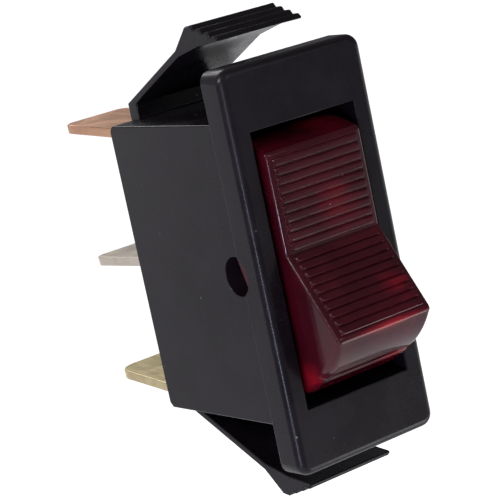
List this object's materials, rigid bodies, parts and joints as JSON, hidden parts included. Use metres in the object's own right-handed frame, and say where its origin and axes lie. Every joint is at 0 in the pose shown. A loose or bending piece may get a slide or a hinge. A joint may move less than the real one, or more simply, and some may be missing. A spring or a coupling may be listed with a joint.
{
  "type": "panel rocker switch",
  "caption": "Lighted snap-in rocker switch: black bezel and case with stepped snap arms, a ribbed translucent red rocker and flat blade terminals.",
  "frame": {"origin": "centre of the bezel's rear face, which is the plane of the panel's front surface", "axes": "+Z along the bezel towards the end that is pressed in at rest, +Y back through the panel towards the blades, X across the bezel"},
  "size_m": [0.0138, 0.0335, 0.0386],
  "materials": {
    "black_plastic": "fine satin moulded black",
    "base_plastic": "dull black moulded",
    "red_plastic": "glossy translucent dark red",
    "plunger_plastic": "natural off-white",
    "spring_steel": "drawn spring wire",
    "contact_copper": "stamped copper alloy",
    "silver": "dull silver alloy",
    "rivet_brass": "turned brass",
    "tinned_brass": "tinned, slightly warm",
    "copper": "bare copper alloy, stamped",
    "yellow_brass": "bare brass, stamped",
    "lamp_glass": "clear",
    "bead_glass": "fused bead",
    "tungsten": "dark drawn wire",
    "lead_wire": "tinned wire",
    "sleeve_plastic": "plain insulating sleeve"
  },
  "bodies": {
    "housing_body": {"housing": "black_plastic", "terminal_base": "base_plastic", "fixed_contact": "silver", "saddle": "contact_copper", "saddle_rivet": "rivet_brass", "line_terminal": "tinned_brass", "load_terminal": "copper", "lamp_terminal": "yellow_brass", "lamp_glass": "lamp_glass", "lamp_bead": "bead_glass", "lamp_filament": "tungsten", "load_wire": "lead_wire", "return_wire": "lead_wire", "wire_sleeve": "sleeve_plastic"},
    "rocker_body": {"rocker": "red_plastic", "plunger_spring": "spring_steel"},
    "plunger_body": {"plunger": "plunger_plastic"},
    "seesaw_body": {"seesaw_blade": "contact_copper", "moving_contact": "silver"}
  },
  "joints": [
    {"name": "rocker_tilt", "type": "hinge", "parent": "housing_body", "child": "rocker_body", "pos_m": [0, 0.0007, 0], "axis": [1, 0, 0], "range_deg": [0, 34]},
    {"name": "plunger_slide", "type": "slide", "parent": "rocker_body", "child": "plunger_body", "axis": [0, -0.9563, 0.2924], "range_m": [0, 0.0008], "stiffness_N_per_m": 400, "deforming": ["plunger_spring"]},
    {"name": "seesaw_rock", "type": "hinge", "parent": "housing_body", "child": "seesaw_body", "pos_m": [-0.0016, 0.00936, 0], "axis": [1, 0, 0], "range_deg": [-12, 0]}
  ],
  "couplings": [
    {"joint": "seesaw_rock", "follows": "rocker_tilt", "ratio": -0.35294}
  ]
}
